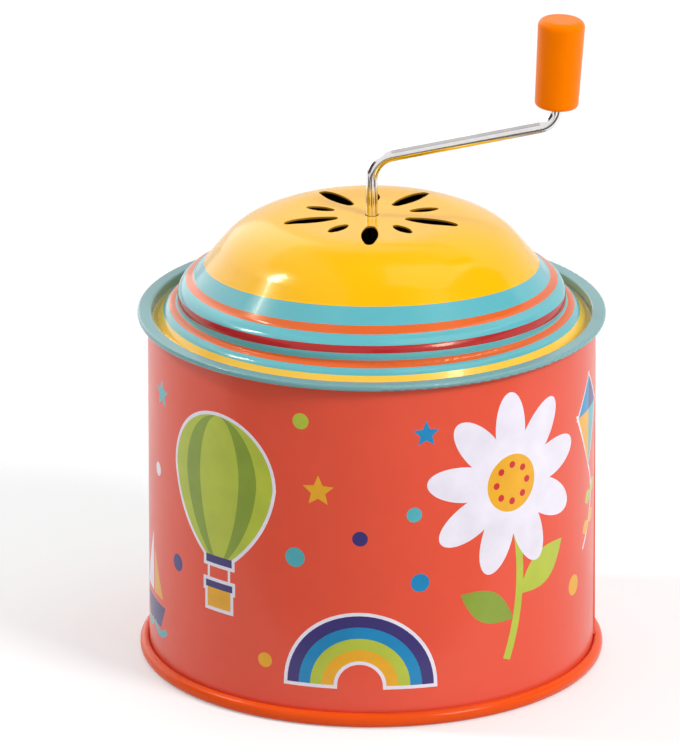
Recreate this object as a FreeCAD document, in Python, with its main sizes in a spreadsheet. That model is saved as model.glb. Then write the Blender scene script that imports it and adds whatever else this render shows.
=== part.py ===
import FreeCAD, Part
import math
import os

import Sketcher
from FreeCAD import Placement, Rotation, Vector

# Hand-cranked music box in a seamed tin can, in millimetres.
# The can stands on its bottom seam at z = 0, and the crank turns about the z axis.
# The musical movement is screwed to the base, and its worm carries the crank.

DIMENSIONS = {
    # Tinplate: sheet, inside radius of a tight fold, space between seamed sheets
    "tin_gauge": 0.3,
    "tin_bend": 0.12,
    "seam_gap": 0.06,
    # Can wall, its top flange and its upright lock seam
    "can_radius": 37.5,
    "can_height": 60.0,
    "flange_reach": 1.35,
    "lock_seam_width": 3.0,
    "lock_seam_proud": 0.3,
    # Lid, from the rim inwards to the crown: each width is measured in from the ring before it
    "groove_depth": 1.66,
    "groove_width": 0.94,
    "groove_bend": 0.2,
    "groove_roll": 1.3,
    "panel_inset": 1.7,
    "panel_rise": 0.79,
    "panel_bend": 2.0,
    "panel_width": 1.7,
    "step_foot_rise": 1.34,
    "step_foot_bend": 0.6,
    "step_height": 3.15,
    "step_bend": 2.6,
    "shoulder_width": 2.7,
    "shoulder_rise": 1.05,
    "cone_bend": 1.2,
    "cone_rise": 8.02,
    "cone_width": 6.6,
    "crown_rise": 2.94,
    "crown_width": 6.96,
    "crown_roll": 12.5,
    "crown_curve": 17.0,
    # Sound holes in the crown, long and short oval petals by turns
    "petal_pairs": 5,
    "petal_turn": -92,
    "long_petal_start": 5.9,
    "long_petal_length": 9.3,
    "long_petal_width": 2.9,
    "long_petal_tip": 0.8,
    "short_petal_start": 6.6,
    "short_petal_length": 5.0,
    "short_petal_width": 2.2,
    "short_petal_tip": 0.6,
    # Base plate and its rolled double seam round the foot of the wall
    "base_recess": 2.0,
    "base_bend": 0.6,
    "foot_seam_height": 2.4,
    "foot_seam_reach": 1.6,
    "foot_roll": 1.1,
    "foot_hook_length": 1.3,
    # Bedplate of the movement
    "bed_foot_height": 2.2,
    "bed_foot_radius": 3.0,
    "bed_thickness": 2.2,
    "bed_margin": 1.5,
    "bed_corner": 2.0,
    "bed_chamfer": 6.0,
    "ear_thickness": 2.0,
    "ear_width": 7.0,
    "ear_round": 3.0,
    # Worm and wheel
    "tooth_module": 0.8,
    "wheel_teeth": 16,
    "wheel_width": 2.0,
    "tooth_backlash": 0.4,
    "root_clearance": 0.2,
    "worm_pitch_radius": 2.6,
    "worm_shaft_radius": 1.6,
    "worm_turns": 3.5,
    "journal_radius": 1.2,
    "washer_thickness": 0.5,
    "washer_radius": 2.4,
    "running_gap": 0.05,
    "end_play": 0.1,
    # Drum on its arbor
    "arbor_height": 8.3,
    "arbor_radius": 1.0,
    "arbor_overhang": 1.6,
    "clip_thickness": 0.5,
    "clip_width": 1.0,
    "clip_groove": 0.25,
    "drum_radius": 6.5,
    "drum_wall": 0.5,
    "drum_length": 19.0,
    "drum_gap": 0.25,
    "plug_length": 3.0,
    "press_gap": 0.02,
    "cap_thickness": 1.0,
    "boss_length": 0.9,
    "boss_radius": 2.2,
    "pin_height": 0.8,
    "pin_radius": 0.18,
    "pins_per_note": 6,
    # Comb
    "comb_notes": 18,
    "note_pitch": 1.0,
    "comb_inset": 0.5,
    "comb_gap": 0.15,
    "slit_width": 0.25,
    "tooth_length": 14.5,
    "tooth_thickness": 0.8,
    "bass_slit": 13.5,
    "treble_slit": 8.5,
    "comb_root_depth": 9.0,
    "comb_root_thickness": 1.9,
    "comb_rise": 0.4,
    "weighted_notes": 6,
    "weight_length": 3.6,
    "weight_depth": 1.3,
    "weight_setback": 0.7,
    # Strap that holds the top of the worm
    "strap_gauge": 1.2,
    "strap_bend": 0.6,
    "strap_width": 9.0,
    "strap_offset": 2.6,
    "strap_web_distance": 5.0,
    "strap_foot_length": 8.0,
    "strap_overhang": 4.0,
    "strap_headroom": 0.6,
    # Slotted screws
    "screw_radius": 1.2,
    "screw_grip": 3.4,
    "screw_head_radius": 2.2,
    "screw_head_height": 1.2,
    "screw_slot_width": 0.6,
    "screw_slot_depth": 0.5,
    "thread_gap": 0.04,
    # Crank, bent from round wire
    "wire_radius": 1.0,
    "socket_height": 3.5,
    "socket_depth": 5.5,
    "crank_clearance": 0.15,
    "crank_rise": 9.74,
    "crank_throw": 30.5,
    "arm_rise": 6.1,
    "first_bend": 4.2,
    "second_bend": 3.2,
    "knob_lean": 3.1,
    "leg_length": 14.6,
    "rivet_radius": 1.4,
    "rivet_length": 0.9,
    # Knob, which turns on the end of the wire
    "knob_grip": 11.45,
    "knob_length": 15.2,
    "knob_foot_radius": 3.65,
    "knob_top_radius": 3.95,
    "knob_foot_round": 0.8,
    "knob_top_round": 1.2,
    "knob_gap": 0.06,
}

# Slopes of the tooth flanks, and of the wheel's flanks where they are relieved below the pitch line
PRESSURE_SLOPE = math.tan(math.radians(20))
RELIEVED_SLOPE = math.tan(math.radians(14))
HALF = 0.5

# Each row of pins starts this many steps after the row before it, out of the steps of one beat
PIN_STRIDE_COUNT = 5
PIN_STEP_COUNT = 7

doc = FreeCAD.newDocument("music_box")
sheet = doc.addObject("Spreadsheet::Sheet", "dims")
for row, (alias, number) in enumerate(DIMENSIONS.items(), start=1):
    sheet.set(f"A{row}", alias)
    sheet.set(f"B{row}", str(number))
    sheet.setAlias(f"B{row}", alias)
doc.recompute()


class Size:
    """A length that carries both its value and the sheet formula that gives it."""

    def __init__(self, value, formula=None):
        self.value = float(value)
        self.formula = formula or f"({value})"

    def __add__(self, other):
        other = as_size(other)
        return Size(self.value + other.value, f"({self.formula} + {other.formula})")

    def __sub__(self, other):
        other = as_size(other)
        return Size(self.value - other.value, f"({self.formula} - {other.formula})")

    def __mul__(self, other):
        other = as_size(other)
        return Size(self.value * other.value, f"({self.formula} * {other.formula})")

    def __truediv__(self, other):
        other = as_size(other)
        return Size(self.value / other.value, f"({self.formula} / {other.formula})")

    def __radd__(self, other):
        return as_size(other) + self

    def __rsub__(self, other):
        return as_size(other) - self

    def __rmul__(self, other):
        return as_size(other) * self

    def __rtruediv__(self, other):
        return as_size(other) / self

    def __neg__(self):
        return 0 - self


def as_size(number):
    """Take a plain number as a size with no cell behind it."""
    return number if isinstance(number, Size) else Size(number)


def square_root(size):
    return Size(math.sqrt(size.value), f"sqrt({size.formula})")


def sine(degrees):
    return Size(math.sin(math.radians(degrees.value)), f"sin({degrees.formula} * 1 deg)")


def cosine(degrees):
    return Size(math.cos(math.radians(degrees.value)), f"cos({degrees.formula} * 1 deg)")


class Dimensions:
    """The cells of the sheet, each as a size."""

    def __init__(self, names):
        for name in names:
            setattr(self, name, Size(sheet.get(name), f"dims.{name}"))


d = Dimensions(DIMENSIONS)


# Levels and radii that several pieces share

lip_top = d.can_height + d.seam_gap + d.tin_gauge
lip_foot = d.can_height - d.tin_gauge - d.seam_gap - d.tin_gauge
lip_radius = d.can_radius + d.flange_reach + d.seam_gap + d.tin_gauge
chuck_radius = d.can_radius - d.tin_gauge - d.seam_gap - d.tin_gauge
fold = d.tin_gauge + d.tin_bend
foot_seam_radius = d.can_radius + d.foot_seam_reach
panel_radius = chuck_radius - d.groove_width - d.panel_inset
step_radius = panel_radius - d.panel_width
cone_radius = step_radius - d.shoulder_width
crown_radius = cone_radius - d.cone_width
step_foot = lip_top + d.step_foot_rise
step_top = step_foot + d.step_height
cone_foot = step_top + d.shoulder_rise
cone_top = cone_foot + d.cone_rise
crown_top = cone_top + d.crown_rise

base_top = d.base_recess + d.tin_gauge
bed_foot = base_top + d.bed_foot_height
bed_top = bed_foot + d.bed_thickness
drum_level = bed_top + d.arbor_height

wheel_radius = d.tooth_module * d.wheel_teeth * HALF
axial_pitch = d.tooth_module * math.pi
drum_front = -(wheel_radius + d.worm_pitch_radius)
tooth_half = axial_pitch * HALF * HALF - d.tooth_backlash * HALF * HALF
tooth_root_depth = d.tooth_module + d.root_clearance
worm_half_length = axial_pitch * d.worm_turns * HALF
strap_level = drum_level + worm_half_length + axial_pitch * HALF + d.strap_headroom
strap_top = strap_level + d.strap_gauge
shaft_top = strap_top + d.socket_height

# Places along the drum's axis, counted from the middle of the wheel
wheel_half = d.wheel_width * HALF
left_boss = -(wheel_half + d.boss_length)
left_ear = left_boss - d.end_play - d.ear_thickness
drum_start = d.worm_pitch_radius + d.tooth_module + d.drum_gap
drum_end = drum_start + d.drum_length
cap_face = drum_end + d.cap_thickness
right_boss = cap_face + d.boss_length
right_ear = right_boss + d.end_play
right_ear_face = right_ear + d.ear_thickness
drum_bore = d.drum_radius - d.drum_wall
plug_radius = drum_bore - d.press_gap
arbor_bore = d.arbor_radius + d.running_gap
pin_circle = d.drum_radius + d.pin_height

# The comb lies behind the drum, its tips just clear of the pins
comb_left = drum_start + d.comb_inset
comb_right = comb_left + d.note_pitch * d.comb_notes
comb_tip = drum_front + pin_circle + d.comb_gap
comb_root = comb_tip + d.tooth_length
comb_back = comb_root + d.comb_root_depth
comb_top = drum_level + d.comb_rise
comb_seat = comb_top - d.comb_root_thickness

# Outline of the bedplate
strap_left = -(d.strap_offset + d.strap_width * HALF)
strap_right = strap_left + d.strap_width
strap_back = d.strap_web_distance + d.strap_foot_length
bed_left = strap_left - d.bed_margin
bed_right = right_ear_face + d.bed_margin * HALF
bed_front = drum_front - d.ear_width * HALF - d.bed_margin
bed_back = comb_back + d.bed_margin

# Screw places on the movement
ear_screw_line = drum_front
left_screw = left_ear + d.ear_thickness * HALF
right_screw = right_ear + d.ear_thickness * HALF - d.bed_foot_radius
comb_screw_line = comb_root + d.comb_root_depth * HALF
comb_middle = (comb_left + comb_right) * HALF
comb_screw_spread = (comb_right - comb_left) * HALF * HALF
strap_screw_line = d.strap_web_distance + d.strap_gauge + (d.strap_foot_length - d.strap_gauge) * HALF
strap_middle = (strap_left + strap_right) * HALF
strap_screw_spread = d.strap_width * HALF * HALF
bed_screw_places = (
    (left_screw, ear_screw_line),
    (right_screw, ear_screw_line),
    (comb_middle, comb_screw_line),
)
comb_screw_places = (
    (comb_middle - comb_screw_spread, comb_screw_line),
    (comb_middle + comb_screw_spread, comb_screw_line),
)
strap_screw_places = (
    (strap_middle - strap_screw_spread, strap_screw_line),
    (strap_middle + strap_screw_spread, strap_screw_line),
)
screw_hole = d.screw_radius + d.thread_gap

# The crank's corners in the plane y = 0, and the line of the knob's leg
arm_start = crown_top + d.crank_rise
arm_end = arm_start + d.arm_rise
wire_foot = shaft_top - d.socket_depth + d.end_play
leg_side = sine(d.knob_lean)
leg_up = cosine(d.knob_lean)
knob_foot = d.leg_length - d.knob_grip


def bind(item, path, size):
    """Tie a property of a document object to the sheet."""
    item.setExpression(path, as_size(size).formula)


def place(item, x=0, y=0, z=0, axis=None, turn=None):
    """Put an object at a point, turned about an axis, with every number tied to the sheet."""
    spin = Rotation(axis, as_size(turn).value) if axis else Rotation()
    item.Placement = Placement(Vector(as_size(x).value, as_size(y).value, as_size(z).value), spin)
    bind(item, "Placement.Base.x", x)
    bind(item, "Placement.Base.y", y)
    bind(item, "Placement.Base.z", z)
    if axis and isinstance(turn, Size):
        item.setExpression("Placement.Rotation.Angle", f"{turn.formula} * 1 deg")


def hold_point(geometry, end, point):
    """Constraints that keep a point of a sketch at a place given by two sizes."""
    x, y = point
    return [
        (Sketcher.Constraint("DistanceX", -1, 1, geometry, end, x.value), x),
        (Sketcher.Constraint("DistanceY", -1, 1, geometry, end, y.value), y),
    ]


def hold(sketch, held):
    """Add constraints to a sketch, and tie those that have a size to the sheets."""
    numbers = sketch.addConstraint([constraint for constraint, size in held])
    for number, (constraint, size) in zip(numbers, held):
        if size is not None:
            bind(sketch, f"Constraints[{number}]", size)


class Workings:
    """A sheet of worked-out sizes, which longer formulas can name."""

    def __init__(self, name):
        self.sheet = doc.addObject("Spreadsheet::Sheet", name)
        self.rows = 0

    def keep(self, alias, size):
        self.rows += 1
        self.sheet.set(f"A{self.rows}", alias)
        self.sheet.set(f"B{self.rows}", f"={size.formula}")
        self.sheet.setAlias(f"B{self.rows}", alias)
        return Size(size.value, f"{self.sheet.Name}.{alias}")

    def heading(self, alias, start, end):
        """Direction from one point to another, as two sizes."""
        across = end[0] - start[0]
        up = end[1] - start[1]
        run = self.keep(f"{alias}_run", square_root(across * across + up * up))
        return across / run, up / run

    def bend(self, alias, before, corner, after):
        """Directions back and ahead from a corner, and the cosine of the angle between them."""
        back = self.heading(f"{alias}_back", corner, before)
        ahead = self.heading(f"{alias}_ahead", corner, after)
        opening = self.keep(f"{alias}_opening", back[0] * ahead[0] + back[1] * ahead[1])
        return back, ahead, opening


def bend_ends(workings, alias, before, corner, after):
    """The points where an arc that rounds a corner meets its two straight runs."""
    x, y, radius = corner
    back, ahead, opening = workings.bend(alias, before, corner, after)
    reach = radius * square_root((1 + opening) / (1 - opening))
    setback = workings.keep(f"{alias}_setback", reach)
    arrive = (x + back[0] * setback, y + back[1] * setback)
    leave = (x + ahead[0] * setback, y + ahead[1] * setback)
    return arrive, leave


def spot(point):
    """The present place of a point given by two sizes."""
    return Vector(point[0].value, point[1].value, 0)


def bend_arc(corner, first, last):
    """The arc that rounds a corner, drawn through its two ends and its middle."""
    radius = corner[2].value
    inwards = spot(first) + spot(last) - spot(corner) * 2
    half_chord = (spot(last) - spot(first)).Length / 2
    to_centre = inwards.Length / 2 + math.sqrt(radius ** 2 - half_chord ** 2)
    middle = spot(corner) + inwards.normalize() * (to_centre - radius)
    return Part.Arc(spot(first), middle, spot(last))


def turns_left(before, corner, after):
    return (spot(corner) - spot(before)).cross(spot(after) - spot(corner)).z > 0


def draw_outline(sketch, corners, closed=True):
    """Draw straight runs from corner to corner, with an arc where a corner has a bend radius."""
    corners = [tuple(as_size(number) for number in corner) for corner in corners]
    count = len(corners)
    arrive = [corner[:2] for corner in corners]
    leave = [corner[:2] for corner in corners]
    bends = [index for index in range(count) if len(corners[index]) == 3]
    workings = Workings(f"{sketch.Name}_bends") if bends else None
    for index in bends:
        before = corners[index - 1]
        after = corners[(index + 1) % count]
        ends = bend_ends(workings, f"corner_{index}", before, corners[index], after)
        arrive[index], leave[index] = ends
    held = []
    runs = {}
    bend_starts = {}
    bend_stops = {}
    for index in range(count):
        if index in bends:
            before = corners[index - 1]
            after = corners[(index + 1) % count]
            ends = (arrive[index], leave[index])
            left = turns_left(before, corners[index], after)
            arc = sketch.addGeometry(bend_arc(corners[index], *(ends if left else ends[::-1])))
            bend_starts[index] = (arc, 1 if left else 2)
            bend_stops[index] = (arc, 2 if left else 1)
            radius = corners[index][2]
            held += hold_point(*bend_starts[index], arrive[index])
            held += hold_point(*bend_stops[index], leave[index])
            held.append((Sketcher.Constraint("Radius", arc, radius.value), radius))
        if closed or index < count - 1:
            run = Part.LineSegment(spot(leave[index]), spot(arrive[(index + 1) % count]))
            runs[index] = sketch.addGeometry(run)
    for index, run in runs.items():
        ahead = (index + 1) % count
        if index in bends:
            held.append((Sketcher.Constraint("Coincident", *bend_stops[index], run, 1), None))
        else:
            held += hold_point(run, 1, corners[index])
        if ahead in bends:
            held.append((Sketcher.Constraint("Coincident", run, 2, *bend_starts[ahead]), None))
        elif ahead in runs:
            held.append((Sketcher.Constraint("Coincident", run, 2, runs[ahead], 1), None))
        else:
            held += hold_point(run, 2, corners[ahead])
    hold(sketch, held)


def draw_box(sketch, left, right, low, high):
    draw_outline(sketch, [(left, low), (right, low), (right, high), (left, high)])


def draw_circle(sketch, x, y, radius):
    centre = (as_size(x), as_size(y))
    circle = sketch.addGeometry(Part.Circle(spot(centre), Vector(0, 0, 1), radius.value))
    held = hold_point(circle, 3, centre)
    held.append((Sketcher.Constraint("Radius", circle, radius.value), radius))
    hold(sketch, held)


def sheet_outline(name, corners, gauge, side):
    """Corners of a bent sheet, out along one skin and back along the other.

    The second skin lies to the left of the first where side is 1, and to the right where it is -1.
    """
    corners = [tuple(as_size(number) for number in corner) for corner in corners]
    workings = Workings(f"{name}_skin")
    skin = []
    for index, corner in enumerate(corners):
        alias = f"corner_{index}"
        before = corners[max(index - 1, 0)]
        after = corners[min(index + 1, len(corners) - 1)]
        if before is corner or after is corner:
            across, up = workings.heading(alias, before, after)
            skin.append((corner[0] - up * gauge * side, corner[1] + across * gauge * side))
            continue
        back, ahead, opening = workings.bend(alias, before, corner, after)
        inside = side if turns_left(before, corner, after) else -side
        reach = gauge * inside / square_root(1 - opening * opening)
        shift = workings.keep(f"{alias}_shift", reach)
        x = corner[0] + (back[0] + ahead[0]) * shift
        y = corner[1] + (back[1] + ahead[1]) * shift
        skin.append((x, y, corner[2] - gauge * inside))
    return corners + skin[::-1]


def new_body(label):
    body = doc.addObject("PartDesign::Body", label)
    body.Label = label
    return body


def sketch_on(body, role, offset=0, turn=None):
    """A sketch on one of the body's own planes, moved along its normal and turned about it."""
    plane = next(item for item in body.Origin.OriginFeatures if item.Role == role)
    sketch = body.newObject("Sketcher::SketchObject", f"{body.Name}_sketch")
    sketch.AttachmentSupport = (plane, [""])
    sketch.MapMode = "FlatFace"
    spin_angle = turn.value if turn else 0
    lift = Vector(0, 0, as_size(offset).value)
    sketch.AttachmentOffset = Placement(lift, Rotation(Vector(0, 0, 1), spin_angle))
    bind(sketch, "AttachmentOffset.Base.z", offset)
    if turn:
        sketch.setExpression("AttachmentOffset.Rotation.Angle", f"{turn.formula} * 1 deg")
    return sketch


def pad(body, sketch, length, backwards=False):
    feature = body.newObject("PartDesign::Pad", f"{body.Name}_pad")
    feature.Profile = sketch
    feature.Length = as_size(length).value
    feature.Reversed = backwards
    bind(feature, "Length", length)
    return feature


def pocket(body, sketch, depth, upwards=False):
    feature = body.newObject("PartDesign::Pocket", f"{body.Name}_pocket")
    feature.Profile = sketch
    feature.Length = as_size(depth).value
    feature.Reversed = upwards
    bind(feature, "Length", depth)
    return feature


def spin(body, sketch, axis):
    feature = body.newObject("PartDesign::Revolution", f"{body.Name}_spin")
    feature.Profile = sketch
    feature.ReferenceAxis = (sketch, [axis])
    feature.Angle = 360
    return feature


def spun_sheet(body, corners, side):
    """Sheet metal spun about the z axis."""
    section = sketch_on(body, "XZ_Plane")
    draw_outline(section, sheet_outline(body.Name, corners, d.tin_gauge, side))
    return spin(body, section, "V_Axis")


def ring_pattern(body, feature, axis_role, count):
    """Repeat a feature round one of the body's axes."""
    axis = next(item for item in body.Origin.OriginFeatures if item.Role == axis_role)
    pattern = body.newObject("PartDesign::PolarPattern", f"{body.Name}_ring")
    pattern.Originals = [feature]
    pattern.Axis = (axis, [""])
    pattern.Angle = 360
    pattern.Occurrences = int(count.value)
    bind(pattern, "Occurrences", count)
    body.Tip = pattern
    return pattern


def drill(body, level, places, radius, depth, upwards=False):
    """Round holes of one size, square to the bedplate."""
    sketch = sketch_on(body, "XY_Plane", level)
    for x, y in places:
        draw_circle(sketch, x, y, radius)
    return pocket(body, sketch, depth, upwards)


def group(label, items):
    item = doc.addObject("Part::Compound", label)
    item.Links = items
    item.Label = label
    return item


def make_can_wall():
    """Rolled wall with a flange at the top, a hook at the foot and an upright lock seam."""
    body = new_body("can_wall")
    can_bore = d.can_radius - d.tin_gauge
    wall_foot = d.tin_gauge + d.seam_gap
    hook_radius = foot_seam_radius - d.tin_gauge - d.seam_gap
    hook_top = d.foot_seam_height - d.foot_roll
    hook_roll = d.foot_roll - d.tin_gauge - d.seam_gap
    spun_sheet(body, [
        (d.can_radius + d.flange_reach, d.can_height),
        (can_bore, d.can_height, fold),
        (can_bore, wall_foot, fold),
        (hook_radius, wall_foot, hook_roll),
        (hook_radius, hook_top),
    ], side=1)
    section = sketch_on(body, "XZ_Plane")
    seam_inside = d.can_radius - d.tin_gauge * HALF
    seam_outside = d.can_radius + d.lock_seam_proud
    seam_foot = d.foot_seam_height + d.tin_gauge
    draw_box(section, seam_inside, seam_outside, seam_foot, lip_foot - d.tin_gauge)
    doc.recompute()
    seam = spin(body, section, "V_Axis")
    seam.Midplane = True
    seam.setExpression("Angle", f"{d.lock_seam_width.formula} / {d.can_radius.formula} * 1 rad")
    return body


def pierce_petals(body, start, length, width, tip, turn):
    """Pierce a ring of ovals through the crown, each of two long flanks and two round tips."""
    sketch = sketch_on(body, "XY_Plane", cone_foot, turn)
    workings = Workings(f"{sketch.Name}_petal")
    axis = as_size(0)
    half_width = width * HALF
    middle = start + length * HALF
    tip_offset = length * HALF - tip
    reach = tip_offset * tip_offset + half_width * half_width - tip * tip
    flank = workings.keep("flank", reach / ((half_width - tip) * 2))
    along = workings.keep("along", tip_offset * flank / (flank - tip))
    out = workings.keep("out", (flank - half_width) * tip / (flank - tip))
    inner_low = (middle - along, -out)
    outer_low = (middle + along, -out)
    outer_high = (middle + along, out)
    inner_high = (middle - along, out)
    held = []
    for first, halfway, last, radius in (
        (inner_low, (middle, -half_width), outer_low, flank),
        (outer_low, (start + length, axis), outer_high, tip),
        (outer_high, (middle, half_width), inner_high, flank),
        (inner_high, (start, axis), inner_low, tip),
    ):
        side = sketch.addGeometry(Part.Arc(spot(first), spot(halfway), spot(last)))
        held += hold_point(side, 1, first)
        held += hold_point(side, 2, last)
        held.append((Sketcher.Constraint("Radius", side, radius.value), radius))
    hold(sketch, held)
    doc.recompute()
    petal = pocket(body, sketch, crown_top - cone_foot + d.tin_gauge, upwards=True)
    doc.recompute()
    ring_pattern(body, petal, "Z_Axis", d.petal_pairs)
    doc.recompute()


def make_lid():
    """Spun dome: curled rim, groove, step, shoulder, cone and crown, pierced by petals."""
    body = new_body("lid")
    groove_floor = lip_top - d.groove_depth
    spun_sheet(body, [
        (d.wire_radius + d.crank_clearance, crown_top),
        (crown_radius - d.crown_width, crown_top, d.crown_curve),
        (crown_radius, cone_top, d.crown_roll),
        (cone_radius, cone_foot, d.cone_bend),
        (step_radius, step_top, d.step_bend),
        (step_radius, step_foot, d.step_foot_bend),
        (panel_radius, lip_top + d.panel_rise, d.panel_bend),
        (chuck_radius - d.groove_width, groove_floor, d.groove_roll),
        (chuck_radius, groove_floor, d.groove_bend),
        (chuck_radius, lip_top, fold),
        (lip_radius, lip_top, fold),
        (lip_radius, lip_foot, fold),
        (d.can_radius + d.seam_gap + d.tin_bend, lip_foot),
    ], side=-1)
    pierce_petals(
        body, d.long_petal_start, d.long_petal_length, d.long_petal_width, d.long_petal_tip,
        d.petal_turn)
    pierce_petals(
        body, d.short_petal_start, d.short_petal_length, d.short_petal_width, d.short_petal_tip,
        d.petal_turn + 180 / d.petal_pairs)
    return body


def make_base_plate():
    """Recessed base whose edge is rolled up round the hook of the wall."""
    body = new_body("base_plate")
    hook_bore = d.can_radius + d.seam_gap
    spun_sheet(body, [
        (0, d.base_recess),
        (chuck_radius, d.base_recess, d.base_bend),
        (chuck_radius, 0, fold),
        (foot_seam_radius, 0, d.foot_roll),
        (foot_seam_radius, d.foot_seam_height, d.foot_roll),
        (hook_bore, d.foot_seam_height, fold),
        (hook_bore, d.foot_seam_height - d.foot_hook_length),
    ], side=1)
    doc.recompute()
    drill(body, base_top, bed_screw_places, screw_hole, d.tin_gauge)
    return body


def make_bedplate():
    """Cast bed on three feet, with two ears for the arbor and a ledge for the comb."""
    body = new_body("bedplate")
    outline = sketch_on(body, "XY_Plane", bed_foot)
    draw_outline(outline, [
        (bed_left, bed_front, d.bed_corner),
        (bed_right, bed_front, d.bed_corner),
        (bed_right, bed_back - d.bed_chamfer, d.bed_corner),
        (bed_right - d.bed_chamfer, bed_back, d.bed_corner),
        (bed_left, bed_back, d.bed_corner),
    ])
    pad(body, outline, d.bed_thickness)
    feet = sketch_on(body, "XY_Plane", bed_foot)
    for x, y in bed_screw_places:
        draw_circle(feet, x, y, d.bed_foot_radius)
    pad(body, feet, d.bed_foot_height, backwards=True)
    ledge = sketch_on(body, "XY_Plane", bed_top)
    draw_box(ledge, comb_left, comb_right, comb_root, comb_back)
    pad(body, ledge, comb_seat - bed_top)
    ear_front = drum_front - d.ear_width * HALF
    ear_back = drum_front + d.ear_width * HALF
    ear_top = drum_level + d.ear_width * HALF
    for ear in (left_ear, right_ear):
        outline = sketch_on(body, "YZ_Plane", ear)
        draw_outline(outline, [
            (ear_front, bed_foot + d.bed_thickness * HALF),
            (ear_back, bed_foot + d.bed_thickness * HALF),
            (ear_back, ear_top, d.ear_round),
            (ear_front, ear_top, d.ear_round),
        ])
        draw_circle(outline, drum_front, drum_level, d.arbor_radius + d.press_gap)
        pad(body, outline, d.ear_thickness)
    doc.recompute()
    drill(body, base_top, bed_screw_places, screw_hole, d.screw_grip + d.end_play, upwards=True)
    drill(body, comb_seat, comb_screw_places, screw_hole, d.screw_grip + d.end_play)
    drill(body, bed_top, strap_screw_places, screw_hole, d.bed_thickness)
    drill(body, bed_top, [(0, 0)], d.journal_radius + d.running_gap, d.bed_thickness)
    return body


def make_screw(name, stack, length):
    """Slotted screw: head below z = 0, shank through a stack of sheet and into its hole."""
    body = new_body(name)
    profile = sketch_on(body, "XZ_Plane")
    draw_outline(profile, [
        (0, -d.screw_head_height),
        (d.screw_head_radius, -d.screw_head_height, d.screw_head_height * HALF),
        (d.screw_head_radius, 0),
        (d.screw_radius, 0),
        (d.screw_radius, stack + length),
        (0, stack + length),
    ])
    spin(body, profile, "V_Axis")
    slot = sketch_on(body, "XY_Plane", -d.screw_head_height)
    reach = d.screw_head_radius + d.screw_head_height
    draw_box(slot, -reach, reach, d.screw_slot_width * -HALF, d.screw_slot_width * HALF)
    doc.recompute()
    pocket(body, slot, d.screw_slot_depth, upwards=True)
    return body


def make_screws(label, places, seat, stack, length, upside_down):
    """A set of equal screws as one group of solids."""
    screws = []
    for index, (x, y) in enumerate(places):
        screw = make_screw(f"{label}_{index}", stack, length)
        place(screw, x, y, seat, Vector(1, 0, 0), 180 if upside_down else 0)
        screws.append(screw)
    return group(label, screws)


def make_comb():
    """Steel comb: a thick root, and teeth parted by slits that shorten towards the treble."""
    body = new_body("comb")
    profile = sketch_on(body, "YZ_Plane", comb_left)
    tooth_foot = comb_top - d.tooth_thickness
    draw_outline(profile, [
        (comb_tip, tooth_foot),
        (comb_root, tooth_foot),
        (comb_root, comb_seat),
        (comb_back, comb_seat),
        (comb_back, comb_top),
        (comb_tip, comb_top),
    ])
    pad(body, profile, comb_right - comb_left)
    slits = sketch_on(body, "XY_Plane", comb_top)
    slit_count = int(d.comb_notes.value) - 1
    for index in range(slit_count):
        middle = comb_left + d.note_pitch * (index + 1)
        depth = d.bass_slit + (d.treble_slit - d.bass_slit) * (index / slit_count)
        left = middle - d.slit_width * HALF
        right = middle + d.slit_width * HALF
        draw_box(slits, left, right, comb_tip - d.slit_width, comb_tip + depth)
    doc.recompute()
    pocket(body, slits, d.comb_root_thickness)
    drill(body, comb_top, comb_screw_places, screw_hole, d.comb_root_thickness)
    return body


def make_bass_weights():
    """Lead weights soldered under the tips of the longest teeth, the first the longest."""
    weights = []
    weight_count = int(d.weighted_notes.value)
    for index in range(weight_count):
        weight = doc.addObject("Part::Box", f"weight_{index}")
        bind(weight, "Length", d.note_pitch - d.slit_width)
        bind(weight, "Width", d.weight_length * (1 - HALF * index / weight_count))
        bind(weight, "Height", d.weight_depth)
        left = comb_left + d.note_pitch * index + d.slit_width * HALF
        low = comb_top - d.tooth_thickness - d.weight_depth
        place(weight, left, comb_tip + d.weight_setback, low)
        weights.append(weight)
    return group("bass_weights", weights)


def on_drum_axis(body, turn=0):
    """Set a body that is modelled about the x axis on the axis of the drum."""
    place(body, 0, drum_front, drum_level, Vector(1, 0, 0), turn)


def make_drum():
    """Brass tube that carries the pins."""
    body = new_body("drum")
    profile = sketch_on(body, "XZ_Plane")
    draw_box(profile, drum_start, drum_end, drum_bore, d.drum_radius)
    spin(body, profile, "H_Axis")
    on_drum_axis(body)
    return body


def make_drum_pins():
    """Steel pins driven into the drum, in one row for each tooth of the comb."""
    pins = []
    for note in range(int(d.comb_notes.value)):
        along = comb_left.value + d.note_pitch.value * (note + HALF)
        for beat in range(int(d.pins_per_note.value)):
            pin = Part.makeCylinder(d.pin_radius.value, d.pin_height.value + d.drum_wall.value * HALF)
            pin.translate(Vector(along, 0, d.drum_radius.value - d.drum_wall.value * HALF))
            late = (note * PIN_STRIDE_COUNT % PIN_STEP_COUNT) / PIN_STEP_COUNT
            share = (beat + late) / d.pins_per_note.value
            pin.rotate(Vector(), Vector(1, 0, 0), 360 * share)
            pins.append(pin)
    item = doc.addObject("Part::Feature", "drum_pins")
    item.Label = "drum_pins"
    item.Shape = Part.makeCompound(pins)
    on_drum_axis(item)
    return item


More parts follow.
